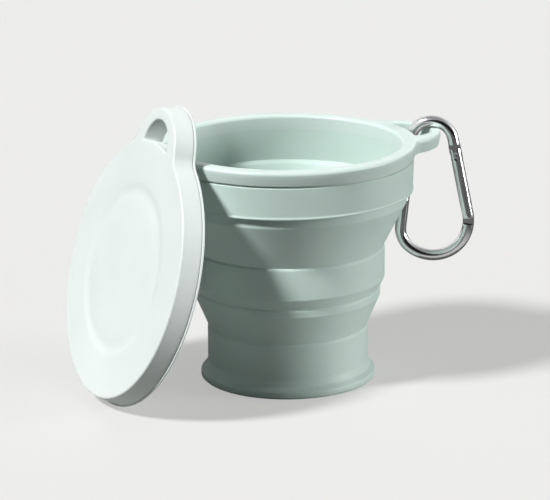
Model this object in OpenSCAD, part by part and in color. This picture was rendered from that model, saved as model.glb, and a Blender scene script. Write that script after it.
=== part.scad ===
// Collapsible travel cup with a leaning lid and a carabiner.
// Origin: centre of the cup's underside. +Z is up, +X points along the rim's tab.
// The cup is one soft moulding in the real object. Here it is cut into rings that telescope,
// because each ring has to travel as the two folding webs turn inside out.

/* [Cup heights] */
// Height of the lip above the table
cup_h = 83.9; // [83:0.1:85]
// Height of the firm rim collar
collar_h = 5.1; // [4.6:0.1:5.4]
// Lower edge of the top band
top_band_z = 67.2; // [67:0.1:67.6]
// Lower edge of the ledge under the top band
top_ledge_z = 63.5; // [63.2:0.1:63.8]
// Upper crease of the middle band
mid_band_z = 48.4; // [48.2:0.1:48.8]
// Lower edge of the middle band, above its chamfer
mid_low_z = 36.4; // [36.2:0.1:36.8]
// Upper edge of the ledge under the middle band
low_ledge_top_z = 32.4; // [32.2:0.1:32.6]
// Lower edge of the ledge under the middle band
low_ledge_z = 29.8; // [29.6:0.1:30]
// Upper crease of the base band
base_band_z = 19.2; // [19:0.1:19.4]

/* [Cup radii] */
// Outer radius of the lip
rim_r = 45; // [44.8:0.1:45.2]
// Radius of the mouth inside the lip
mouth_r = 39.8; // [39.6:0.1:40]
// Outer radius of the top band at its lower edge
top_band_r = 43.6; // [43.4:0.1:43.8]
// Outer radius of the ledge under the top band
top_ledge_r = 41.8; // [41.6:0.1:42]
// Outer radius of the middle band
mid_r = 33.9; // [33.8:0.05:34]
// Outer radius of the ledge under the middle band
low_ledge_r = 32.3; // [32.2:0.1:32.5]
// Outer radius of the base band
base_r = 28; // [27.9:0.05:28.05]
// Outer radius of the foot
foot_r = 30.5; // [30.2:0.1:30.6]

/* [Cup walls] */
// Wall of the middle band
mid_wall = 2.7; // [2.5:0.1:2.9]
// Wall of the base band
base_wall = 2.5; // [2.2:0.1:2.8]
// Thickness of the floor
floor_t = 3; // [2.6:0.1:3.4]
// Slit between neighbouring fold rings
ring_gap = 0.1; // [0.08:0.01:0.12]

/* [Tabs] */
// Radius of the round end of both tabs
tab_end_r = 17.4; // [17.2:0.1:17.6]
// Distance of that round end from the disc's centre
tab_reach = 39.4; // [39.2:0.1:39.6]
// Radius of the hollow where a tab meets its disc
tab_fillet_r = 8; // [6:0.5:9]
// Radius of the eye in the rim's tab
rim_eye_r = 10.4; // [10.2:0.1:10.6]
// Radius of the eye in the lid's tab
lid_eye_r = 9.9; // [9.7:0.1:10.1]
// Distance of the rim's eye from the disc's centre
eye_reach = 43.4; // [43.2:0.1:43.6]
// Distance of the lid's eye from the disc's centre
lid_eye_reach = 42.6; // [42.4:0.1:42.8]

/* [Lid] */
// Radius of the lid's face
lid_face_r = 44.5; // [44.3:0.1:44.7]
// Radius of the bead round the lid's mouth
lid_bead_r = 46.3; // [46.1:0.1:46.4]
// Total depth of the lid
lid_h = 7.5; // [7.3:0.1:7.6]
// Thickness of the lid's panel
lid_panel_t = 2.4; // [2.2:0.1:2.6]
// Depth of the shallow ring sunk in the lid's face
lid_ring_depth = 0.7; // [0.5:0.1:0.9]
// How far the lid leans back from upright
lid_tilt = 16.4; // [16:0.1:17]
// Direction that the leaning lid faces
lid_face_dir = 182.4; // [182:0.1:183]
// Direction in which the lid stands from the cup
lid_stand_dir = 183.9; // [183.5:0.1:184.3]
// Distance of the lid's face centre from the cup's axis
lid_stand_r = 62.4; // [62.3:0.1:63]
// Turn of the lid's tab from straight up
lid_turn = -1; // [-6:1:4]

/* [Carabiner] */
// Thickness of the bent rod
rod_d = 4; // [3.9:0.05:4.1]
// Thickness of the gate
gate_d = 4.2; // [4.1:0.05:4.3]
// Radius of the top bend, to the rod's centre
clip_top_r = 7.6; // [7.5:0.05:7.7]
// Radius of the bottom bend, to the rod's centre
clip_bottom_r = 13; // [12.8:0.1:13.2]
// Radius of the tighter bend below the back
clip_corner_r = 8; // [7:0.1:9]
// Height between the centres of the top and bottom bends
clip_drop = 28; // [27.5:0.1:28.5]
// Lean of the gate
gate_tilt = 11.3; // [11:0.1:11.6]
// Turn of the carabiner about the vertical
clip_turn = -32.3; // [-34:0.1:-30]

/* [Hidden] */
$fn = 96;

silicone = [0.66, 0.78, 0.75];
silicone_light = [0.80, 0.90, 0.87];
polished = [0.86, 0.87, 0.88];
steel = [0.62, 0.63, 0.65];
eps = 0.01;

// Cup: heights and radii that follow from the driving ones.
seam_gap = 0.1;
collar_z = cup_h - collar_h;
top_band_top_r = rim_r - 1;
collar_low_r = rim_r - 0.8;
lip_round = 1.3;
mouth_low_r = mouth_r - 0.4;
mid_in_r = mid_r - mid_wall;
mid_low_in_r = low_ledge_r - 2;
base_in_r = base_r - base_wall;
tongue_w = 1.6;
tongue_h = 2.4;
tongue_clear = 0.05;
bore_r = mouth_r + 1.6;

// The outer and inner faces of both webs are cones. A cone is a pair of [radius, height] places.
web_top_r = top_ledge_r - 0.1;
upper_in_z = mid_band_z + 1.2;
lower_in_z = base_band_z + 1;
function on_cone(low, high, r) = low.y + (r - low.x) * (high.y - low.y) / (high.x - low.x);
function upper_out(r) = on_cone([mid_r, mid_band_z], [web_top_r, top_ledge_z], r);
function upper_in(r) = on_cone([mid_in_r, upper_in_z], [mouth_low_r, top_band_z], r);
function lower_out(r) = on_cone([base_r, base_band_z], [low_ledge_r, low_ledge_z], r);
function lower_in(r) = on_cone([base_in_r, lower_in_z], [mid_low_in_r, low_ledge_top_z], r);

// Four upper rings and two lower rings share the width between the bands.
upper_rings = 4;
upper_start = mid_r + 0.15;
upper_end = mouth_low_r - 0.2;
upper_step = (upper_end - upper_start) / upper_rings;
lower_rings = 2;
lower_start = base_r + 0.15;
lower_end = mid_low_in_r - 0.15;
lower_step = (lower_end - lower_start) / lower_rings;

// Tabs. The collar's tab starts outside the groove for the silicone tongue.
tab_root_r = 43.6;
tab_inner_r = bore_r + tongue_w + 0.25;
tab_low_z = collar_z + 0.1;
tab_top_z = cup_h - 0.1;
tab_edge = 1.7;
eye_edge = 0.8;
edge_steps = 4;
lid_eye_inner_r = 44;

// Lid: local frame with the face at height 0, looking up, and the tab along +X.
lid_seat_r = rim_r + 0.15;
lid_seat_top_r = 43.7;
lid_seat_depth = 5.2;
lid_recess_r = 43;
lid_bead_h = 0.95;
lid_skirt_r = lid_bead_r - 0.5;
lid_edge = 0.6;
lid_bead_edge = 0.4;
lid_ring_out = 30;
lid_ring_in = 26;
lid_stand_z = lid_bead_r * cos(lid_tilt) + (lid_h - lid_bead_edge) * sin(lid_tilt);

// Carabiner: local frame with its origin at the centre of the top bend, in the plane y = 0,
// +X away from the cup.
clip_x = 54.55;
clip_y = -1.5;
clip_z = 78.45;
rod_r = rod_d / 2;
gate_r = gate_d / 2;
clip_bottom = [(clip_top_r - clip_bottom_r + clip_drop * sin(gate_tilt)) / cos(gate_tilt), -clip_drop];
corner_dir = 231.4;
clip_corner = clip_bottom + (clip_bottom_r - clip_corner_r) * [cos(corner_dir), sin(corner_dir)];
corner_dist = norm(clip_corner);
spine_tilt = atan2(-clip_corner.x, -clip_corner.y) + asin((clip_corner_r - clip_top_r) / corner_dist);
spine_dir = 180 - spine_tilt;
spine_len = sqrt(corner_dist * corner_dist - pow(clip_corner_r - clip_top_r, 2));
body_end_dir = -5;
bend_steps = 18;
nose_len = 2;
gate_top = 3.5;
gate_end = 28.9;
gate_pivot = 27;
blade_t = 1.4;
slot_t = 1.6;
blade_w = 4.3;
blade_len = 5.7;
hinge_w = 4.1;
hinge_block_gap = 0.2;
hinge_block_h = 2.6;
nose_slot_depth = 5;
hinge_slot_depth = 4.4;
latch_at = gate_top + 2.6;
latch_r = 0.8;
latch_clear = 0.2;
rivet_r = 0.7;
rivet_clear = 0.03;
tongue_r = 1.5;
tongue_flat_w = 2;
tongue_flat_h = 1.6;
bore_gate_r = 1.25;
plunger_r = 1.15;
plunger_travel = 0.35;
plunger_body_h = 2;
plunger_nose_h = 0.5;
plunger_top = gate_pivot - tongue_flat_h - 0.1;
plunger_low = plunger_top - plunger_nose_h - plunger_body_h;
bore_end = 15.5;
spring_wire_r = 0.2;
spring_r = 0.9;
spring_turns = 6;

module ring(points) {
    rotate_extrude($fn = 180) polygon(points);
}

// Silicone body, from the foot up.

module base_cup() {
    ring_foot_h = 2.8;
    groove_in = 20;
    groove_out = 26;
    groove_depth = 0.8;
    web_z = lower_out(base_r);
    color(silicone) ring([
        [0, 0], [groove_in, 0], [groove_in, groove_depth], [groove_out, groove_depth], [groove_out, 0],
        [foot_r - 0.5, 0], [foot_r, 0.6], [foot_r, ring_foot_h], [foot_r - 1, ring_foot_h + 0.5],
        [base_r + 0.4, ring_foot_h + 1.7], [base_r, ring_foot_h + 3.2],
        [base_r, web_z], [base_r, lower_in(base_r)], [base_in_r, lower_in(base_in_r)],
        [base_in_r, floor_t + 2], [base_in_r - 2, floor_t], [0, floor_t]]);
}

// One ring of a web: a slanted slab between two upright faces.
module fold_ring(inner, outer, is_upper) {
    color(silicone) ring([
        [inner, is_upper ? upper_out(inner) : lower_out(inner)],
        [outer, is_upper ? upper_out(outer) : lower_out(outer)],
        [outer, is_upper ? upper_in(outer) : lower_in(outer)],
        [inner, is_upper ? upper_in(inner) : lower_in(inner)]]);
}

module lower_fold(index) {
    inner = lower_start + index * lower_step;
    fold_ring(inner, inner + lower_step - ring_gap, false);
}

module upper_fold(index) {
    inner = upper_start + index * upper_step;
    fold_ring(inner, inner + upper_step - ring_gap, true);
}

module middle_band() {
    color(silicone) ring([
        [mid_low_in_r, lower_out(mid_low_in_r)], [low_ledge_r, low_ledge_z],
        [low_ledge_r, low_ledge_top_z], [mid_r, mid_low_z], [mid_r, mid_band_z],
        [mid_r, upper_in(mid_r)], [mid_in_r, upper_in(mid_in_r)],
        [mid_in_r, mid_low_z], [mid_low_in_r, low_ledge_top_z]]);
}

module upper_band() {
    color(silicone) ring([
        [mouth_low_r, upper_out(mouth_low_r)], [web_top_r, top_ledge_z],
        [top_ledge_r, top_ledge_z], [top_ledge_r, top_band_z], [top_band_r, top_band_z],
        [top_band_top_r, collar_z - seam_gap], [bore_r + tongue_w, collar_z - seam_gap],
        [bore_r + tongue_w, collar_z + tongue_h], [bore_r, collar_z + tongue_h],
        [bore_r, collar_z - seam_gap], [mouth_r - 0.1, collar_z - seam_gap], [mouth_low_r, top_band_z]]);
}

// Rim collar: a firm ring that grips the silicone tongue, with the carabiner's tab.

// A disc with a round tab along +X and hollow necks between them.
module tabbed_outline(root_r, end_r) {
    offset(r = -tab_fillet_r, $fn = 48) offset(r = tab_fillet_r, $fn = 48) {
        circle(r = root_r, $fn = 120);
        translate([tab_reach, 0]) circle(r = end_r, $fn = 60);
    }
}

// A slab of that outline, its upper edge rounded in steps.
module tabbed_slab(root_r, end_r, low, high, edge) {
    translate([0, 0, low]) linear_extrude(high - edge - low) tabbed_outline(root_r, end_r);
    for (step = [0:edge_steps - 1])
        let (inset = edge * (1 - cos(asin((step + 0.5) / edge_steps))))
            translate([0, 0, high - edge + edge * step / edge_steps - eps])
                linear_extrude(edge / edge_steps + eps) tabbed_outline(root_r - inset, end_r - inset);
}

module rim_tab() {
    difference() {
        tabbed_slab(tab_root_r, tab_end_r, tab_low_z, tab_top_z, tab_edge);
        translate([0, 0, tab_low_z - 1]) cylinder(r = tab_inner_r, h = collar_h + 2, $fn = 180);
        translate([eye_reach, 0, tab_low_z - 1]) cylinder(r = rim_eye_r, h = collar_h + 2, $fn = 72);
        translate([eye_reach, 0, tab_top_z - eye_edge])
            cylinder(r1 = rim_eye_r, r2 = rim_eye_r + eye_edge + eps, h = eye_edge + eps, $fn = 72);
    }
}

module rim_collar() {
    color(silicone_light) {
        rim_tab();
        rotate_extrude($fn = 180) difference() {
            union() {
                polygon([[mouth_r, collar_z], [collar_low_r, collar_z], [rim_r, cup_h - lip_round],
                         [mouth_r, cup_h - lip_round]]);
                translate([mouth_r + lip_round, cup_h - 2 * lip_round])
                    square([rim_r - mouth_r - 2 * lip_round, 2 * lip_round]);
                translate([mouth_r + lip_round, cup_h - lip_round]) circle(r = lip_round, $fn = 32);
                translate([rim_r - lip_round, cup_h - lip_round]) circle(r = lip_round, $fn = 32);
            }
            translate([bore_r - tongue_clear, collar_z - 1])
                square([tongue_w + 2 * tongue_clear, tongue_h + 1 + tongue_clear]);
        }
    }
}

// Lid: face up in its own frame.

module lid_shape() {
    difference() {
        union() {
            ring([
                [0, 0], [lid_ring_in - 2, 0], [lid_ring_in, -lid_ring_depth],
                [lid_ring_out - 2, -lid_ring_depth], [lid_ring_out, 0],
                [lid_face_r - lid_edge, 0], [lid_face_r, -lid_edge], [lid_skirt_r, lid_bead_h - lid_h],
                [lid_bead_r, lid_bead_h - lid_h], [lid_bead_r, lid_bead_edge - lid_h],
                [lid_bead_r - lid_bead_edge, -lid_h], [0, -lid_h]]);
            tabbed_slab(lid_face_r - lid_edge, tab_end_r, -lid_h, 0, lid_edge);
            translate([0, 0, -lid_h]) linear_extrude(lid_bead_h)
                tabbed_outline(lid_bead_r - lid_bead_edge,
                    tab_end_r + lid_bead_r - lid_face_r - lid_bead_edge);
        }
        translate([0, 0, -lid_seat_depth])
            cylinder(r = lid_recess_r, h = lid_seat_depth - lid_panel_t, $fn = 180);
        translate([0, 0, -lid_h - eps])
            cylinder(r1 = lid_seat_r, r2 = lid_seat_top_r, h = lid_h - lid_seat_depth + eps, $fn = 180);
        difference() {
            translate([lid_eye_reach, 0, -lid_h - 1]) cylinder(r = lid_eye_r, h = lid_h + 2, $fn = 72);
            translate([0, 0, -lid_h - 2]) cylinder(r = lid_eye_inner_r, h = lid_h + 4, $fn = 180);
        }
    }
}

module lid() {
    color(silicone_light)
        translate([lid_stand_r * cos(lid_stand_dir), lid_stand_r * sin(lid_stand_dir), lid_stand_z])
            rotate([0, 0, lid_face_dir]) rotate([0, 90 - lid_tilt, 0]) rotate([0, 0, 180 + lid_turn])
                lid_shape();
}

// Carabiner. Places in the plane of the loop are pairs [across, up].

module in_clip() {
    translate([clip_x, clip_y, clip_z]) rotate([0, 0, clip_turn]) children();
}

// Puts +Z along the gate's line, downwards, with its origin on the top bend's tangent point.
module on_gate_line() {
    translate([clip_top_r * cos(gate_tilt), 0, clip_top_r * sin(gate_tilt)])
        rotate([0, 180 - gate_tilt, 0]) children();
}

// Places along a bend, each with the direction that points away from the bend's centre.
function bend(centre, radius, from, to) =
    [for (i = [0:bend_steps]) let (a = from + (to - from) * i / bend_steps)
        [centre.x + radius * cos(a), centre.y + radius * sin(a), a]];

// Closes a run of rings of points into one solid.
module swept(points, sides) {
    steps = len(points) / sides - 1;
    walls = [for (i = [0:steps - 1]) for (k = [0:sides - 1])
        let (low = i * sides, high = low + sides, next = (k + 1) % sides)
            [low + k, low + next, high + next, high + k]];
    ends = [[for (k = [sides - 1:-1:0]) k], [for (k = [0:sides - 1]) steps * sides + k]];
    polyhedron(points = points, faces = concat(walls, ends), convexity = 8);
}

// The bent rod: nose, top bend, back, corner and bottom bend.
module rod() {
    sides = 32;
    nose_tip = [clip_top_r * cos(gate_tilt) + nose_len * sin(gate_tilt),
                clip_top_r * sin(gate_tilt) - nose_len * cos(gate_tilt), gate_tilt];
    bottom = bend(clip_bottom, clip_bottom_r, corner_dir, 360 + body_end_dir);
    path = concat([nose_tip], bend([0, 0], clip_top_r, gate_tilt, spine_dir),
                  bend(clip_corner, clip_corner_r, spine_dir, corner_dir),
                  [for (i = [1:bend_steps]) bottom[i]]);
    swept([for (place = path) for (k = [0:sides - 1])
        let (side = 360 * k / sides, across = rod_r * cos(side))
        [place[0] + across * cos(place[2]), -rod_r * sin(side), place[1] + across * sin(place[2])]], sides);
}

module carabiner_body() {
    color(polished) in_clip() difference() {
        union() {
            rod();
            // The nose's blade, and the tongue that the gate turns on.
            on_gate_line() translate([-blade_w / 2, -blade_t / 2, nose_len - eps])
                cube([blade_w, blade_t, blade_len]);
            on_gate_line() translate([0, 0, gate_pivot]) rotate([90, 0, 0])
                cylinder(r = tongue_r, h = blade_t, center = true, $fn = 48);
            on_gate_line() translate([-tongue_flat_w / 2, -blade_t / 2, gate_pivot - tongue_flat_h])
                cube([tongue_flat_w, blade_t, tongue_flat_h]);
            on_gate_line() translate([-tongue_r, -blade_t / 2, gate_pivot])
                cube([2 * tongue_r, blade_t, gate_end - gate_pivot + 1]);
            on_gate_line() translate([-hinge_w / 2, -blade_t / 2, gate_end + hinge_block_gap])
                cube([hinge_w, blade_t, hinge_block_h]);
        }
        // The rivet's hole, and the notch that drops over the latch pin.
        on_gate_line() translate([0, 0, gate_pivot]) rotate([90, 0, 0])
            cylinder(r = rivet_r + rivet_clear, h = gate_d + 2, center = true, $fn = 32);
        on_gate_line() translate([0, 0, latch_at]) rotate([90, 0, 0])
            cylinder(r = latch_r + latch_clear, h = gate_d + 2, center = true, $fn = 32);
        on_gate_line() translate([0, -gate_d / 2, latch_at - latch_r - latch_clear])
            cube([gate_d, gate_d, 2 * (latch_r + latch_clear)]);
    }
}

module carabiner_gate() {
    window_w = 1.4;
    window_h = 4.3;
    color(polished) in_clip() on_gate_line() difference() {
        translate([0, 0, gate_top]) cylinder(r = gate_r, h = gate_end - gate_top, $fn = 48);
        // Slots for the nose's blade and for the tongue.
        translate([-gate_d, -slot_t / 2, gate_top - 1]) cube([2 * gate_d, slot_t, nose_slot_depth + 1]);
        translate([-gate_d, -slot_t / 2, gate_end - hinge_slot_depth])
            cube([2 * gate_d, slot_t, hinge_slot_depth + 1]);
        // Open window over the latch, front to back.
        translate([-window_w / 2, -gate_d, gate_top - 1]) cube([window_w, 2 * gate_d, window_h + 1]);
        // Bore for the spring and the plunger.
        translate([0, 0, bore_end]) cylinder(r = bore_gate_r, h = plunger_top - bore_end + 0.2, $fn = 32);
        translate([0, 0, gate_pivot]) rotate([90, 0, 0])
            cylinder(r = rivet_r, h = gate_d + 2, center = true, $fn = 32);
        translate([0, 0, latch_at]) rotate([90, 0, 0])
            cylinder(r = latch_r, h = gate_d + 2, center = true, $fn = 32);
    }
}

module gate_rivet() {
    color(steel) in_clip() on_gate_line() translate([0, 0, gate_pivot]) rotate([90, 0, 0])
        cylinder(r = rivet_r, h = gate_d - 0.2, center = true, $fn = 32);
}

module latch_pin() {
    color(steel) in_clip() on_gate_line() translate([0, 0, latch_at]) rotate([90, 0, 0])
        cylinder(r = latch_r, h = gate_d - 0.4, center = true, $fn = 32);
}

module gate_plunger() {
    color(steel) in_clip() on_gate_line() {
        translate([0, 0, plunger_top - plunger_nose_h])
            cylinder(r1 = plunger_r, r2 = plunger_r - 0.4, h = plunger_nose_h, $fn = 32);
        translate([0, 0, plunger_low]) cylinder(r = plunger_r, h = plunger_body_h, $fn = 32);
    }
}

// A coil spring swept as one closed surface.
module gate_spring() {
    sides = 6;
    steps_per_turn = 16;
    steps = spring_turns * steps_per_turn;
    start = bore_end + spring_wire_r + 0.05;
    finish = plunger_low - plunger_travel - spring_wire_r;
    pitch = (finish - start) / spring_turns;
    rings = [for (i = [0:steps]) for (k = [0:sides - 1])
        let (turn = 360 * spring_turns * i / steps, side = 360 * k / sides,
             across = spring_r + spring_wire_r * cos(side))
            [across * cos(turn), across * sin(turn),
             start + pitch * turn / 360 + spring_wire_r * sin(side)]];
    color(steel) in_clip() on_gate_line() swept(rings, sides);
}

base_cup();
lower_fold(0);  // lower_fold_inner
lower_fold(1);  // lower_fold_outer
middle_band();
upper_fold(0);  // upper_fold_1
upper_fold(1);  // upper_fold_2
upper_fold(2);  // upper_fold_3
upper_fold(3);  // upper_fold_4
upper_band();
rim_collar();
lid();
carabiner_body();
carabiner_gate();
gate_rivet();
latch_pin();
gate_plunger();
gate_spring();
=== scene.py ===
"""Looks for the collapsible travel cup: soft cup, rim collar, leaning lid and carabiner, on a pale floor."""
import bmesh
import bpy
import math
from mathutils import Matrix, Vector


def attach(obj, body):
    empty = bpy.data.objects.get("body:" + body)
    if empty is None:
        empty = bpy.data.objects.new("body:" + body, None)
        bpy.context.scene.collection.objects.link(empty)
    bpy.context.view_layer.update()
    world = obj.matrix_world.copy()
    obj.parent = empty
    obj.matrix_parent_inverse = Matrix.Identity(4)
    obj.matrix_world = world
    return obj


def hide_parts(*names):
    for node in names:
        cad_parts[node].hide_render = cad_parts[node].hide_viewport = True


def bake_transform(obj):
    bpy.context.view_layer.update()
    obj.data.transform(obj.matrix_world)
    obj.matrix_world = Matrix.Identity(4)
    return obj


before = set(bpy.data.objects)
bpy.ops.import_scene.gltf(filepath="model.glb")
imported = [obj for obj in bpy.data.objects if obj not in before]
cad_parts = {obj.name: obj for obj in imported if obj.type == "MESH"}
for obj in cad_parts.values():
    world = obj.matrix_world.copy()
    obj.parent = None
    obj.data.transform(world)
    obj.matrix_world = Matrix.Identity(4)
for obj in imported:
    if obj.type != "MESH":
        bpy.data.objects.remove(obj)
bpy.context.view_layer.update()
MM = 0.001
SHARP_ANGLE = 32        # degrees; corners sharper than this stay hard
METAL_SHARP_ANGLE = 28  # the same for the milled metal


# ---------------------------------------------------------------- mesh helpers

def new_object(name, verts, faces):
    """A mesh object from points in millimetres, shaded smooth except at sharp corners."""
    mesh = bpy.data.meshes.new(name)
    mesh.from_pydata([tuple(c * MM for c in v) for v in verts], [], faces)
    obj = bpy.data.objects.new(name, mesh)
    bpy.context.scene.collection.objects.link(obj)
    tidy(obj)
    return obj


def tidy(obj, smooth_angle=SHARP_ANGLE):
    """Merges doubled points, points every face outward and sets smooth shading with sharp corners."""
    bm = bmesh.new()
    bm.from_mesh(obj.data)
    bmesh.ops.remove_doubles(bm, verts=bm.verts, dist=1e-6)
    bmesh.ops.recalc_face_normals(bm, faces=bm.faces)
    if bm.calc_volume(signed=True) < 0:
        bmesh.ops.reverse_faces(bm, faces=bm.faces)
    for face in bm.faces:
        face.smooth = True
    for edge in bm.edges:
        edge.smooth = len(edge.link_faces) != 2 or edge.calc_face_angle(0.0) < math.radians(smooth_angle)
    bm.to_mesh(obj.data)
    bm.free()
    obj.data.update()


def round_corners(corners, per_arc=5, closed=True):
    """Points along a polygon of (x, y, radius) corners, each corner rounded to its radius."""
    count = len(corners)
    out = []
    for i, (x, y, radius) in enumerate(corners):
        here = Vector((x, y))
        if radius <= 0 or (not closed and i in (0, count - 1)):
            out.append((x, y))
            continue
        before = Vector(corners[i - 1][:2]) - here
        after = Vector(corners[(i + 1) % count][:2]) - here
        a, b = before.normalized(), after.normalized()
        half = math.acos(max(-1.0, min(1.0, a.dot(b)))) / 2
        if half > math.radians(89) or half < 0.01:
            out.append((x, y))
            continue
        reach = min(radius / math.tan(half), 0.49 * before.length, 0.49 * after.length)
        r = reach * math.tan(half)
        centre = here + (a + b).normalized() * (r / math.sin(half))
        start, end = here + a * reach - centre, here + b * reach - centre
        turn = math.atan2(start.x * end.y - start.y * end.x, start.dot(end))
        for k in range(per_arc + 1):
            t = turn * k / per_arc
            c, s = math.cos(t), math.sin(t)
            out.append((centre.x + start.x * c - start.y * s, centre.y + start.x * s + start.y * c))
    return out


def refine(points, longest, closed=True):
    """Splits the long steps of a run of (x, y) points."""
    out = []
    count = len(points)
    for i in range(count if closed else count - 1):
        x0, y0 = points[i]
        x1, y1 = points[(i + 1) % count]
        steps = max(1, math.ceil(math.hypot(x1 - x0, y1 - y0) / longest))
        out += [(x0 + (x1 - x0) * k / steps, y0 + (y1 - y0) * k / steps) for k in range(steps)]
    if not closed:
        out.append(points[-1])
    return out


def lathe(name, profile, sides=256, closed=True):
    """Turns a run of (r, z) points about +Z.

    A closed run makes a ring; an open one starts and ends on the axis.
    """
    verts, rows = [], []
    for r, z in profile:
        if r < 1e-6:
            rows.append([len(verts)])
            verts.append((0.0, 0.0, z))
        else:
            rows.append(list(range(len(verts), len(verts) + sides)))
            verts += [(r * math.cos(2 * math.pi * k / sides), r * math.sin(2 * math.pi * k / sides), z)
                      for k in range(sides)]
    pairs = list(zip(rows, rows[1:])) + ([(rows[-1], rows[0])] if closed else [])
    return new_object(name, verts, stitch(pairs, sides))


def stitch(pairs, sides):
    """Faces between pairs of closed rows; a row of one point is a pole."""
    faces = []
    for low, high in pairs:
        for k in range(sides):
            n = (k + 1) % sides
            if len(low) == 1 and len(high) == 1:
                break
            if len(low) == 1:
                faces.append((low[0], high[n], high[k]))
            elif len(high) == 1:
                faces.append((low[k], low[n], high[0]))
            else:
                faces.append((low[k], low[n], high[n], high[k]))
    return faces


def loft(name, rows, closed=False):
    """A solid through rows of points, each row a closed loop of the same count.

    A closed loft joins its last row to its first; an open one is capped.
    """
    sides = len(rows[0])
    verts = [p for row in rows for p in row]
    index = [list(range(i * sides, (i + 1) * sides)) for i in range(len(rows))]
    faces = stitch(list(zip(index, index[1:])) + ([(index[-1], index[0])] if closed else []), sides)
    if not closed:
        faces += [tuple(reversed(index[0])), tuple(index[-1])]
    return new_object(name, verts, faces)


def cut(obj, cutters, smooth_angle=SHARP_ANGLE):
    """Cuts closed solids out of obj, then deletes them."""
    for cutter in cutters:
        modifier = obj.modifiers.new("cut", "BOOLEAN")
        modifier.operation = "DIFFERENCE"
        modifier.solver = "EXACT"
        modifier.object = cutter
        bpy.context.view_layer.update()
        done = bpy.data.meshes.new_from_object(obj.evaluated_get(bpy.context.evaluated_depsgraph_get()))
        obj.modifiers.clear()
        obj.data = done
        mesh = cutter.data
        bpy.data.objects.remove(cutter)
        bpy.data.meshes.remove(mesh)
    tidy(obj, smooth_angle)
    return obj


def block(name, low, high):
    """A box to cut with, in millimetres."""
    (x0, y0, z0), (x1, y1, z1) = low, high
    verts = [(x, y, z) for x in (x0, x1) for y in (y0, y1) for z in (z0, z1)]
    faces = [(0, 1, 3, 2), (4, 6, 7, 5), (0, 4, 5, 1), (2, 3, 7, 6), (0, 2, 6, 4), (1, 5, 7, 3)]
    return new_object(name, verts, faces)


def place(obj, matrix):
    obj.data.transform(matrix)
    obj.data.update()
    return obj


# ---------------------------------------------------------------- materials

def material(name, base, roughness, metallic=0.0):
    m = bpy.data.materials.new(name)
    m.use_nodes = True
    shader = m.node_tree.nodes["Principled BSDF"]
    shader.inputs["Base Color"].default_value = (*base, 1)
    shader.inputs["Roughness"].default_value = roughness
    shader.inputs["Metallic"].default_value = metallic
    return m, m.node_tree.nodes, m.node_tree.links, shader


def noise(nodes, links, coords, scale, detail=4.0, roughness=0.55):
    n = nodes.new("ShaderNodeTexNoise")
    n.inputs["Scale"].default_value = scale
    n.inputs["Detail"].default_value = detail
    n.inputs["Roughness"].default_value = roughness
    links.new(coords, n.inputs["Vector"])
    return n.outputs["Fac"]


def ramp(nodes, links, value, stops):
    r = nodes.new("ShaderNodeValToRGB")
    while len(r.color_ramp.elements) < len(stops):
        r.color_ramp.elements.new(0.5)
    for element, (place_at, colour) in zip(r.color_ramp.elements, stops):
        element.position = place_at
        element.color = (*colour, 1)
    links.new(value, r.inputs["Fac"])
    return r.outputs["Color"]


def map_range(nodes, links, value, low, high, out_low, out_high):
    r = nodes.new("ShaderNodeMapRange")
    for socket, number in zip(("From Min", "From Max", "To Min", "To Max"), (low, high, out_low, out_high)):
        r.inputs[socket].default_value = number
    links.new(value, r.inputs["Value"])
    return r.outputs["Result"]


def soft_moulding(name, dark, light, roughness, grain):
    """Satin silicone: faint cloudy colour, a fine moulded grain and a soft sheen."""
    m, nodes, links, shader = material(name, light, roughness)
    coords = nodes.new("ShaderNodeTexCoord").outputs["Object"]
    cloud = noise(nodes, links, coords, 38, 3)
    links.new(ramp(nodes, links, cloud, [(0.30, dark), (0.70, light)]), shader.inputs["Base Color"])
    fine = noise(nodes, links, coords, 2600, 2)
    patchy = noise(nodes, links, coords, 120, 4)
    uneven = map_range(nodes, links, patchy, 0.3, 0.7, roughness - 0.06, roughness + 0.07)
    links.new(uneven, shader.inputs["Roughness"])
    bump = nodes.new("ShaderNodeBump")
    bump.inputs["Strength"].default_value = grain
    bump.inputs["Distance"].default_value = 0.00012
    links.new(fine, bump.inputs["Height"])
    links.new(bump.outputs["Normal"], shader.inputs["Normal"])
    shader.inputs["Subsurface Weight"].default_value = 0.12
    shader.inputs["Subsurface Radius"].default_value = (0.8, 1.0, 0.9)
    shader.inputs["Subsurface Scale"].default_value = 0.002
    shader.inputs["Sheen Weight"].default_value = 0.25
    shader.inputs["Sheen Roughness"].default_value = 0.5
    shader.inputs["Specular IOR Level"].default_value = 0.35
    return m


def polished_metal(name, dark, light, roughness, streak):
    """Bright metal with faint polishing marks and a slightly uneven gloss."""
    m, nodes, links, shader = material(name, light, roughness, 1.0)
    coords = nodes.new("ShaderNodeTexCoord").outputs["Object"]
    cloud = noise(nodes, links, coords, 260, 3)
    links.new(ramp(nodes, links, cloud, [(0.35, dark), (0.65, light)]), shader.inputs["Base Color"])
    marks = noise(nodes, links, coords, 900, 5)
    uneven = map_range(nodes, links, marks, 0.3, 0.7, roughness * 0.6, roughness * 1.6)
    links.new(uneven, shader.inputs["Roughness"])
    bump = nodes.new("ShaderNodeBump")
    bump.inputs["Strength"].default_value = streak
    bump.inputs["Distance"].default_value = 0.00003
    links.new(marks, bump.inputs["Height"])
    links.new(bump.outputs["Normal"], shader.inputs["Normal"])
    return m


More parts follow.
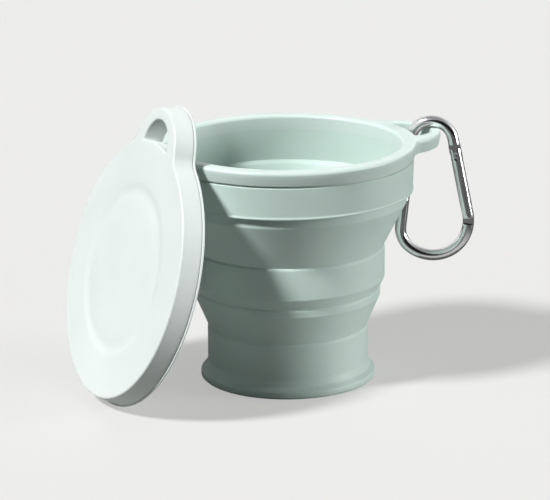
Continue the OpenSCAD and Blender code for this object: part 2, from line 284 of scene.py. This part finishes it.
MINT_DARK = (0.395, 0.500, 0.460)
MINT = (0.420, 0.525, 0.485)
cup_silicone = soft_moulding("cup_silicone", MINT_DARK, MINT, 0.52, 0.35)
COLLAR_DARK = (0.430, 0.520, 0.487)
COLLAR_LIGHT = (0.455, 0.545, 0.512)
# The lid is the cup's silicone painted paler and more neutral: painted highlight standing in for its brightly
# lit face.
LID_DARK = (0.478, 0.520, 0.505)
LID_LIGHT = (0.503, 0.545, 0.530)
collar_plastic = soft_moulding("collar_silicone", COLLAR_DARK, COLLAR_LIGHT, 0.44, 0.25)
lid_painted_highlight_silicone = soft_moulding("lid_silicone_painted_highlight", LID_DARK, LID_LIGHT, 0.50, 0.30)
aluminium = polished_metal("polished_aluminium", (0.86, 0.87, 0.88), (0.93, 0.935, 0.94), 0.10, 0.12)
steel = polished_metal("pin_steel", (0.55, 0.56, 0.58), (0.66, 0.67, 0.69), 0.24, 0.2)


def finish_piece(obj, mat):
    obj.data.materials.clear()
    obj.data.materials.append(mat)
    return obj


# ---------------------------------------------------------------- cup body
# Heights and radii in millimetres, as in the frame.

LOW_Z = 19.2          # upper crease of the base band


def bend_by_radius(obj, still_below=None):
    """Moves each point of a turned skin out along X to its distance from the axis, or onto the axis below
    still_below, then puts every point back as it was.
    """
    rest = [v.co.copy() for v in obj.data.vertices]
    for v in obj.data.vertices:
        r = math.hypot(v.co.x, v.co.y)
        if still_below is not None and v.co.z < still_below * MM:
            r = 0.0
        v.co = (r, 0.0, 0.0)
    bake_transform(obj)
    for v, co in zip(obj.data.vertices, rest):
        v.co = co
    obj.data.update()
    return obj


def upper_skin():
    """Top band, its ledge and the upper web, open in the middle."""
    corners = [
        (43.45, 78.72, 0.1), (43.35, 78.2, 0.15), (43.98, 78.0, 0.22), (43.62, 68.1, 1.0),
        (43.85, 67.5, 0.12), (43.8, 67.15, 0.12), (41.85, 67.0, 0.25), (41.75, 63.6, 1.4),
        (33.55, 47.75, 0.25), (33.2, 47.3, 0.1),
        (32.4, 48.6, 0.2),
        (31.3, 49.9, 0.6), (38.6, 66.3, 1.0), (39.55, 67.6, 0.8), (39.8, 78.82, 0)]
    points = refine(round_corners(corners, 6), 0.55)
    return lathe("upper_skin", points)


def lower_skin():
    """Middle band, lower web, base band, foot and floor."""
    outer = [
        (0.0, 0.9, 0), (19.0, 0.9, 0.6), (20.2, 0.0, 0.4), (29.7, 0.0, 0.45), (30.5, 0.7, 0.6),
        (30.45, 2.5, 0.9), (28.9, 3.9, 1.6), (28.0, 6.2, 2.5), (28.0, 18.1, 1.4), (27.5, 19.0, 0.5),
        (28.0, 19.7, 0.5), (32.25, 29.7, 1.0),
        (32.25, 31.8, 0.9), (31.75, 32.55, 0.4), (32.2, 33.0, 0.4), (33.85, 36.2, 1.3), (33.9, 46.9, 1.2),
        (33.25, 47.8, 0.3), (32.6, 48.2, 0.2)]
    inner = [
        (31.5, 48.3, 0.3), (31.2, 36.6, 1.5), (30.2, 32.2, 2.0), (25.6, 20.4, 2.0), (25.4, 5.6, 2.2),
        (23.2, 3.2, 2.4),
        (0.0, 3.0, 0)]
    points = refine(round_corners(outer + inner, 6, closed=False), 0.55, closed=False)
    return lathe("lower_skin", points, closed=False)


upper = finish_piece(upper_skin(), cup_silicone)
bend_by_radius(upper)
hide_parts("upper_fold_1", "upper_fold_2", "upper_fold_3", "upper_fold_4", "upper_band")

lower = finish_piece(lower_skin(), cup_silicone)
bend_by_radius(lower, still_below=LOW_Z - 0.5)
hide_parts("base_cup", "lower_fold_inner", "lower_fold_outer", "middle_band")


# ---------------------------------------------------------------- tabbed outlines

TAB_AT = 39.4         # distance of a tab's round end from the disc's centre
TAB_NECK = 8.0        # radius of the hollow where a tab meets its disc
OUTLINE_STEP = 0.9    # spacing of the points along an outline
EYE_CORNER = 0.8      # rounding of an eye's two corners


def tab_outline(disc_r, end_r, step, reach=TAB_AT):
    """Points and outward normals of a disc with a round tab along +X and hollow necks between."""
    # The neck's centre is at the crossing of two circles, one about the disc and one about the tab.
    neck_x = ((disc_r + TAB_NECK) ** 2 - (end_r + TAB_NECK) ** 2 + reach ** 2) / (2 * reach)
    neck_y = math.sqrt((disc_r + TAB_NECK) ** 2 - neck_x ** 2)
    turn_disc = math.atan2(neck_y, neck_x)
    turn_end = math.atan2(neck_y, neck_x - reach)

    def arc(centre, radius, start, end, side):
        count = max(3, round(abs(end - start) * radius / step))
        out = []
        for k in range(count + 1):
            a = start + (end - start) * k / count
            out.append(((centre[0] + radius * math.cos(a), centre[1] + radius * math.sin(a)),
                        (side * math.cos(a), side * math.sin(a))))
        return out

    disc = arc((0, 0), disc_r, turn_disc, 2 * math.pi - turn_disc, 1)
    right_neck = arc((neck_x, -neck_y), TAB_NECK, math.pi - turn_disc, math.pi - turn_end, -1)
    tip = arc((reach, 0), end_r, -turn_end, turn_end, 1)
    left_neck = arc((neck_x, neck_y), TAB_NECK, turn_end - math.pi, turn_disc - math.pi, -1)
    return disc + right_neck[1:-1] + tip + left_neck[1:-1]


def outline_row(outline, offset, z):
    return [(p[0] + n[0] * offset, p[1] + n[1] * offset, z) for p, n in outline]


def circle_row(outline, radius, z):
    """A circle with one point on the same bearing as each point of the outline."""
    out = []
    for p, _ in outline:
        a = math.atan2(p[1], p[0])
        out.append((radius * math.cos(a), radius * math.sin(a), z))
    return out


def between(row_a, row_b, f):
    return [tuple(a + (b - a) * f for a, b in zip(p, q)) for p, q in zip(row_a, row_b)]


def eye_outline(hole_r, hole_at, inner_r, corner, count=160):
    """A round hole closed on the inside by the arc of radius inner_r about the disc's centre."""
    cross_x = (hole_at ** 2 - hole_r ** 2 + inner_r ** 2) / (2 * hole_at)
    cross_y = math.sqrt(inner_r ** 2 - cross_x ** 2)
    a0 = math.atan2(cross_y, cross_x - hole_at)
    b0 = math.atan2(cross_y, cross_x)
    arc = [(hole_at + hole_r * math.cos(-a0 + 2 * a0 * k / 40), hole_r * math.sin(-a0 + 2 * a0 * k / 40))
           for k in range(41)]
    flat = [(inner_r * math.cos(b0 - 2 * b0 * k / 20), inner_r * math.sin(b0 - 2 * b0 * k / 20))
            for k in range(1, 20)]
    points = arc + flat
    # The two ends of the round arc are the corners.
    rounded = [(x, y, corner if i in (0, 40) else 0) for i, (x, y) in enumerate(points)]
    # Drop the neighbours that a rounded corner swallows.
    ends = (rounded[0][:2], rounded[40][:2])
    kept = [c for c in rounded if c[2] > 0 or min(math.dist(c[:2], end) for end in ends) > corner * 1.6]
    path = round_corners(kept, 8)
    return even_loop(path, count)


def even_loop(points, count):
    """Resamples a closed run of points at even steps, with outward normals."""
    lengths = [0.0]
    for i in range(len(points)):
        lengths.append(lengths[-1] + math.dist(points[i], points[(i + 1) % len(points)]))
    out = []
    j = 0
    for k in range(count):
        s = lengths[-1] * k / count
        while lengths[j + 1] < s:
            j += 1
        f = (s - lengths[j]) / max(1e-9, lengths[j + 1] - lengths[j])
        p, q = points[j], points[(j + 1) % len(points)]
        out.append((p[0] + (q[0] - p[0]) * f, p[1] + (q[1] - p[1]) * f))
    result = []
    for k in range(count):
        a, b = out[k - 1], out[(k + 1) % count]
        dx, dy = b[0] - a[0], b[1] - a[1]
        size = math.hypot(dx, dy)
        result.append((out[k], (dy / size, -dx / size)))
    return result


def eye_cutter(name, outline, top, bottom, flare):
    """A cutter for an eye whose edges are left rounded to the flare radius at both faces."""
    rows = []
    rows.append(outline_row(outline, flare + 0.6, top + 0.6))
    for k in range(7):
        a = math.pi / 2 * k / 6
        rows.append(outline_row(outline, flare * (1 - math.sin(a)), top - flare * (1 - math.cos(a))))
    for k in range(7):
        a = math.pi / 2 * (1 - k / 6)
        rows.append(outline_row(outline, flare * (1 - math.sin(a)), bottom + flare * (1 - math.cos(a))))
    rows.append(outline_row(outline, flare + 0.6, bottom - 0.6))
    return loft(name, rows)


# ---------------------------------------------------------------- rim collar

COLLAR_TOP, COLLAR_LOW, COLLAR_LIP = 83.86, 78.82, 1.3     # heights, and the lip's rounding
COLLAR_R, COLLAR_TAB_R, BORE_R = 45.0, 17.4, 39.8
COLLAR_EYE_R, COLLAR_EYE_AT, COLLAR_EYE_INSIDE = 10.4, 43.4, 45.4


def rim_collar():
    """Firm ring with a rounded lip and a tab whose eye holds the carabiner."""
    top, low, lip = COLLAR_TOP, COLLAR_LOW, COLLAR_LIP
    outline = tab_outline(COLLAR_R, COLLAR_TAB_R, OUTLINE_STEP)
    rows = []
    # Outside, from the bottom edge up, with a slight draft, then over the lip and down inside.
    rows.append(outline_row(outline, -1.0, low))
    rows.append(outline_row(outline, -0.82, low + 0.12))
    for z in (low + 1.2, low + 2.4):
        rows.append(outline_row(outline, -0.78 + 0.78 * (z - low) / (top - lip - low), z))
    for k in range(9):
        a = math.pi / 2 * k / 8
        rows.append(outline_row(outline, lip * (math.cos(a) - 1), top - lip + lip * math.sin(a)))
    inner_edge = circle_row(outline, BORE_R + lip, top)
    for f in (0.35, 0.7):
        rows.append(between(rows[12], inner_edge, f))
    for k in range(9):
        a = math.pi / 2 * k / 8
        rows.append(circle_row(outline, BORE_R + lip * (1 - math.sin(a)), top - lip + lip * math.cos(a)))
    rows.append(circle_row(outline, BORE_R, low))
    obj = loft("collar_with_tab", rows, closed=True)
    eye = eye_outline(COLLAR_EYE_R, COLLAR_EYE_AT, COLLAR_EYE_INSIDE, EYE_CORNER)
    return cut(obj, [eye_cutter("eye", eye, top, low, 0.75)])


collar = finish_piece(rim_collar(), collar_plastic)
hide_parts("rim_collar")
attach(collar, "rim")


# ---------------------------------------------------------------- lid

LID_TILT, LID_FACE, LID_STAND, LID_FAR, LID_TURN = 16.4, 182.4, 183.9, 62.4, -1.0
LID_DEEP = 7.5
LID_R, LID_TAB_R = 44.5, 17.3
LID_EYE_R, LID_EYE_AT, LID_EYE_INSIDE = 9.9, 42.6, 44.5
LID_BEAD_R, LID_BEAD_DEEP = 46.3, 7.1       # the edge of the bead that stands on the floor


def lid_matrix():
    tilt = math.radians(LID_TILT)
    height = LID_BEAD_R * math.cos(tilt) + LID_BEAD_DEEP * math.sin(tilt)
    stand = math.radians(LID_STAND)
    move = Matrix.Translation(Vector((LID_FAR * math.cos(stand), LID_FAR * math.sin(stand), height)) * MM)
    return (move @ Matrix.Rotation(math.radians(LID_FACE), 4, "Z")
            @ Matrix.Rotation(math.radians(90 - LID_TILT), 4, "Y")
            @ Matrix.Rotation(math.radians(180 + LID_TURN), 4, "Z"))


def lid_piece():
    """Shallow lid, face up in its own frame, tab along +X."""
    outline = tab_outline(LID_R, LID_TAB_R, OUTLINE_STEP)
    edge = 0.7
    rows = [circle_row(outline, 0.05, -0.02)]
    # Sunken ring in the face, with soft sides.
    for r, z in ((10.0, -0.02), (20.0, -0.03), (22.6, -0.07), (24.0, -0.16), (25.2, -0.29),
                 (26.4, -0.38), (27.4, -0.38), (28.4, -0.28), (29.2, -0.15), (30.0, -0.05),
                 (31.2, 0.0), (36.0, 0.0)):
        rows.append(circle_row(outline, r, z))
    inside = circle_row(outline, 41.0, 0.0)
    rows.append(inside)
    brim = outline_row(outline, -edge, 0.0)
    rows += [between(inside, brim, f) for f in (0.4, 0.8)]
    for k in range(8):
        a = math.pi / 2 * k / 7
        rows.append(outline_row(outline, -edge + (edge + 0.05) * math.sin(a), -edge * (1 - math.cos(a))))
    # Down the skirt and round the bead: depth and distance out.
    for d, off in ((2.0, 0.33), (3.5, 0.68), (5.0, 1.0), (6.2, 1.28), (6.42, 1.3), (6.5, 1.05),
                   (6.62, 1.02), (6.66, 1.45), (6.75, 1.68), (6.95, 1.8), (7.15, 1.8), (7.35, 1.66),
                   (7.48, 1.35), (7.5, 1.0)):
        rows.append(outline_row(outline, off, -d))
    seat = circle_row(outline, 45.15, -LID_DEEP)
    rows += [between(rows[-1], seat, 0.5), seat]
    # The seat for the rim and the recess behind the face: radius and depth.
    for r, d in ((44.4, 6.3), (43.7, 5.25), (43.0, 5.1), (42.9, 3.0), (42.4, 2.5), (41.8, 2.4),
                 (20.0, 2.35), (0.05, 2.35)):
        rows.append(circle_row(outline, r, -d))
    obj = loft("lid_shell", rows)
    eye = eye_outline(LID_EYE_R, LID_EYE_AT, LID_EYE_INSIDE, EYE_CORNER)
    return cut(obj, [eye_cutter("lid_eye", eye, 0.0, -LID_DEEP, 0.7)])


lid = place(lid_piece(), lid_matrix())
finish_piece(lid, lid_painted_highlight_silicone)
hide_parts("lid")
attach(lid, "lid")


# ---------------------------------------------------------------- carabiner

ROD, GATE = 2.0, 2.1
TOP_R, BOTTOM_R, CORNER_R, DROP = 7.6, 13.0, 8.0, 28.0
LEAN = math.radians(11.3)
CORNER_DIR = math.radians(231.4)
END_DIR = math.radians(355)
CLIP = Matrix.Translation(Vector((54.55, -1.5, 78.45)) * MM) @ Matrix.Rotation(math.radians(-32.3), 4, "Z")

bottom_at = Vector(((TOP_R - BOTTOM_R + DROP * math.sin(LEAN)) / math.cos(LEAN), -DROP))
corner_at = bottom_at + (BOTTOM_R - CORNER_R) * Vector((math.cos(CORNER_DIR), math.sin(CORNER_DIR)))
lean_back = math.atan2(-corner_at.x, -corner_at.y)
spine_dir = math.pi - (lean_back + math.asin((CORNER_R - TOP_R) / corner_at.length))
# Start of the gate's line, on the top bend, and its way down.
line_start = Vector((TOP_R * math.cos(LEAN), TOP_R * math.sin(LEAN)))
line_down = Vector((math.sin(LEAN), -math.cos(LEAN)))
# Frame of the gate's line: +Z runs down it, +X points into the loop.
LINE = (CLIP @ Matrix.Translation(Vector((line_start.x, 0, line_start.y)) * MM)
        @ Matrix.Rotation(math.pi - LEAN, 4, "Y"))


def rod_row(at, direction, width=ROD, sides=48):
    """A cross-section of the rod at a place in the loop's plane."""
    out = []
    for k in range(sides):
        a = 2 * math.pi * k / sides
        across = width * math.cos(a)
        out.append((at.x + across * math.cos(direction), -ROD * math.sin(a),
                    at.y + across * math.sin(direction)))
    return out


def carabiner_rod():
    rows = []
    nose = 7.7
    # The nose is pressed a little wider where its blade is milled.
    for t in (nose, nose - 0.25, 5.2, 3.6, 2.4, 2.0):
        width = ROD + (0.15 if t > 2.3 else 0.0) - (0.25 if t == nose else 0.0)
        rows.append(rod_row(line_start + line_down * t, LEAN, width))
    rows.append(rod_row(line_start + line_down * 1.0, LEAN))

    def arc(centre, radius, start, end, steps):
        for k in range(steps + 1):
            a = start + (end - start) * k / steps
            rows.append(rod_row(centre + radius * Vector((math.cos(a), math.sin(a))), a))

    arc(Vector((0, 0)), TOP_R, LEAN, spine_dir, 56)
    top = Vector((TOP_R * math.cos(spine_dir), TOP_R * math.sin(spine_dir)))
    foot = corner_at + CORNER_R * Vector((math.cos(spine_dir), math.sin(spine_dir)))
    for k in range(1, 12):
        rows.append(rod_row(top.lerp(foot, k / 12), spine_dir))
    arc(corner_at, CORNER_R, spine_dir, CORNER_DIR, 22)
    rows.pop()
    arc(bottom_at, BOTTOM_R, CORNER_DIR, 2 * math.pi + LEAN, 60)
    pivot_end = line_start + line_down * 25.6
    tangent = bottom_at + BOTTOM_R * Vector((math.cos(LEAN), math.sin(LEAN)))
    for f in (0.5, 0.9):
        rows.append(rod_row(tangent.lerp(pivot_end, f), LEAN, 1.5 if f > 0.8 else 1.8))
    rows.append(rod_row(pivot_end, LEAN, 1.1))
    obj = loft("carabiner_rod", rows)
    # Mill the nose and the hinge end down to flat blades.
    cutters = []
    for side in (-1, 1):
        y0, y1 = sorted((side * 0.7, side * 6))
        nose_cut = block("nose_cut", (-6, y0, 1.9), (6, y1, 12))
        nose_cut.data.transform(Matrix.Translation(Vector((line_start.x, 0, line_start.y)) * MM)
                                @ Matrix.Rotation(math.pi - LEAN, 4, "Y"))
        hinge_cut = block("hinge_cut", (BOTTOM_R - 5, y0, 0), (BOTTOM_R + 5, y1, 9.5))
        hinge_cut.data.transform(Matrix.Translation(Vector((bottom_at.x, 0, bottom_at.y)) * MM)
                                 @ Matrix.Rotation(-END_DIR, 4, "Y"))
        cutters += [nose_cut, hinge_cut]
    # The notch that drops over the latch pin, open towards the loop.
    notch = lathe("notch", [(0, -4), (1.0, -4), (1.0, 4), (0, 4)], 40, closed=False)
    notch.data.transform(Matrix.Rotation(math.pi / 2, 4, "X"))
    slot = block("notch_slot", (0, -4, -1.0), (5, 4, 1.0))
    for piece in (notch, slot):
        piece.data.transform(Matrix.Translation(Vector((line_start.x, 0, line_start.y)) * MM)
                             @ Matrix.Rotation(math.pi - LEAN, 4, "Y") @ Matrix.Translation((0, 0, 6.1 * MM)))
    return cut(obj, cutters + [notch, slot], smooth_angle=METAL_SHARP_ANGLE)


rod = place(carabiner_rod(), CLIP)
finish_piece(rod, aluminium)
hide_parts("carabiner_body")
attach(rod, "carabiner")


def carabiner_gate():
    """Round gate with softened ends, slotted for the blades and open over the latch."""
    start, end = 3.5, 28.9
    corners = [(0, start, 0), (GATE - 0.05, start, 0.3), (GATE, end, 0.35), (0, end, 0)]
    profile = refine(round_corners(corners, 5, closed=False), 1.2, closed=False)
    body = lathe("gate_tube", profile, 64, closed=False)
    cutters = [block("latch_slot", (-4, -0.8, start - 2), (4, 0.8, 8.5)),
               block("hinge_slot", (-4, -0.8, end - 4.4), (4, 0.8, end + 2)),
               lathe("gate_bore", [(0, 15.5), (1.25, 15.5), (1.25, 25.5), (0, 25.5)], 40, closed=False),
               block("latch_window", (-0.75, -4, start - 2), (0.75, 4, start + 3.5))]
    window_end = lathe("window_end", [(0, -4), (0.75, -4), (0.75, 4), (0, 4)], 40, closed=False)
    window_end.data.transform(Matrix.Translation((0, 0, (start + 3.5) * MM))
                              @ Matrix.Rotation(math.pi / 2, 4, "X"))
    return cut(body, cutters + [window_end], smooth_angle=METAL_SHARP_ANGLE)


gate = place(carabiner_gate(), LINE)
finish_piece(gate, aluminium)
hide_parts("carabiner_gate")
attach(gate, "gate")


def domed_pin(name, radius, half, at):
    """A pin across the gate with softened ends."""
    corners = [(0, -half, 0), (radius, -half, 0.18), (radius, half, 0.18), (0, half, 0)]
    obj = lathe(name, refine(round_corners(corners, 4, closed=False), 0.8, closed=False), 40, closed=False)
    obj.data.transform(LINE @ Matrix.Translation((0, 0, at * MM)) @ Matrix.Rotation(math.pi / 2, 4, "X"))
    return obj


rivet = finish_piece(domed_pin("gate_rivet_pin", 0.7, 2.04, 27.0), aluminium)
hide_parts("gate_rivet")
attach(rivet, "carabiner")
latch = finish_piece(domed_pin("latch_cross_pin", 0.8, 1.9, 6.1), steel)
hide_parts("latch_pin")
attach(latch, "gate")

for name in ("gate_plunger", "gate_spring"):
    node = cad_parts[name]
    node.data.materials.clear()
    node.data.materials.append(steel)


# ---------------------------------------------------------------- floor, light and camera

def floor_piece():
    mesh = bpy.data.meshes.new("floor")
    size = 6.0
    corners = [(-size, -size, 0), (size, -size, 0), (size, size, 0), (-size, size, 0)]
    mesh.from_pydata(corners, [], [(0, 1, 2, 3)])
    obj = bpy.data.objects.new("floor", mesh)
    bpy.context.scene.collection.objects.link(obj)
    m, nodes, links, shader = material("pale_floor", (0.80, 0.797, 0.785), 0.7)
    coords = nodes.new("ShaderNodeTexCoord").outputs["Object"]
    tone = ramp(nodes, links, noise(nodes, links, coords, 3, 2),
                [(0.3, (0.238, 0.237, 0.233)), (0.7, (0.248, 0.247, 0.243))])
    # Light bounces off the floor close to the object only, as off a small plinth.
    away = nodes.new("ShaderNodeVectorMath")
    away.operation = "LENGTH"
    links.new(coords, away.inputs[0])
    plinth = map_range(nodes, links, away.outputs["Value"], 0.09, 0.15, 1.0, 0.0)
    bounce = mixed(nodes, links, plinth, (0.04, 0.04, 0.04), (0.30, 0.298, 0.29))
    path = nodes.new("ShaderNodeLightPath")
    links.new(mixed(nodes, links, path.outputs["Is Camera Ray"], bounce, tone), shader.inputs["Base Color"])
    shader.inputs["Emission Color"].default_value = (1.0, 0.995, 0.98, 1)
    glow = map_range(nodes, links, path.outputs["Is Camera Ray"], 0, 1, 0, 0.43)
    links.new(glow, shader.inputs["Emission Strength"])
    shader.inputs["Specular IOR Level"].default_value = 0.2
    mesh.materials.append(m)
    return obj


def sun(name, direction, strength, angle):
    """A soft distant light. direction is the way from the object to the light."""
    light = bpy.data.lights.new(name, "SUN")
    light.energy = strength
    light.angle = math.radians(angle)
    obj = bpy.data.objects.new(name, light)
    obj.rotation_euler = Vector(direction).to_track_quat("Z", "Y").to_euler()
    bpy.context.scene.collection.objects.link(obj)
    return obj


CAM_YAW = math.radians(-22.07)


def seen(right, away, up):
    """A direction given as right, away from the camera and up, turned into the scene's axes."""
    return Matrix.Rotation(CAM_YAW, 3, "Z") @ Vector((right, away, up))


sun("key", seen(-0.580, -0.380, 0.719), 5.8, 10)
sun("fill", seen(0.980, -0.140, 0.130), 2.95, 24)


def patch(nodes, links, coords, direction, inner, outer):
    """1 inside a cone about the direction, 0 outside the wider cone, both as half-angles."""
    dot = nodes.new("ShaderNodeVectorMath")
    dot.operation = "DOT_PRODUCT"
    dot.inputs[1].default_value = direction.normalized()
    links.new(coords, dot.inputs[0])
    edge, core = math.cos(math.radians(outer)), math.cos(math.radians(inner))
    return map_range(nodes, links, dot.outputs["Value"], edge, core, 0.0, 1.0)


def mixed(nodes, links, factor, first, second):
    """Blends two colours, each a colour or a socket."""
    mix = nodes.new("ShaderNodeMix")
    mix.data_type = "RGBA"
    links.new(factor, mix.inputs["Factor"])
    for socket, colour in ((mix.inputs[6], first), (mix.inputs[7], second)):
        if isinstance(colour, tuple):
            socket.default_value = (*colour, 1)
        else:
            links.new(colour, socket)
    return mix.outputs[2]


def bearing(degrees, up):
    """A direction so many degrees to the right of the one towards the camera."""
    turn = math.radians(degrees)
    return seen(math.sin(turn), -math.cos(turn), up)


BACKDROP = (0.845, 0.838, 0.825)


def studio_world():
    """Pale backdrop to look at; a grey room with a dark front and a bright right-hand box to be lit by."""
    world = bpy.data.worlds.new("studio")
    bpy.context.scene.world = world
    world.use_nodes = True
    nodes, links = world.node_tree.nodes, world.node_tree.links
    coords = nodes.new("ShaderNodeTexCoord").outputs["Generated"]
    path = nodes.new("ShaderNodeLightPath")
    dim, bright = (0.06, 0.063, 0.062), (0.75, 0.76, 0.76)
    colour = mixed(nodes, links, path.outputs["Is Glossy Ray"], dim, bright)
    # Each patch: bearing, height, inner and outer half-angle, colour.
    for degrees, up, inner, outer, tone in (
            (0, 9.0, 25, 55, (0.30, 0.30, 0.30)), (16, 0.12, 38, 50, (0.012, 0.012, 0.013)),
            (92, 0.10, 18, 26, (1.5, 1.5, 1.5)), (141, 0.0, 8, 14, (0.02, 0.02, 0.02))):
        inside = patch(nodes, links, coords, bearing(degrees, up), inner, outer)
        colour = mixed(nodes, links, inside, colour, tone)
    colour = mixed(nodes, links, path.outputs["Is Camera Ray"], colour, BACKDROP)
    links.new(colour, nodes["Background"].inputs["Color"])


studio_world()
floor_piece()


CAMERA_AT = (-0.4066, -0.9914, 0.3419)      # metres
CAMERA_TURN = (-22.073, 74.511, -0.503)     # yaw, pitch and roll in degrees


def make_camera():
    data = bpy.data.cameras.new("camera")
    data.lens = 209.3
    data.sensor_width = 36
    data.clip_start, data.clip_end = 0.05, 30
    obj = bpy.data.objects.new("camera", data)
    yaw, pitch, roll = CAMERA_TURN
    turn = (Matrix.Rotation(math.radians(yaw), 4, "Z") @ Matrix.Rotation(math.radians(pitch), 4, "X")
            @ Matrix.Rotation(math.radians(roll), 4, "Z"))
    obj.matrix_world = Matrix.Translation(CAMERA_AT) @ turn
    bpy.context.scene.collection.objects.link(obj)
    bpy.context.scene.camera = obj


make_camera()
bpy.context.scene.view_settings.view_transform = "Standard"
bpy.context.scene.view_settings.look = "None"
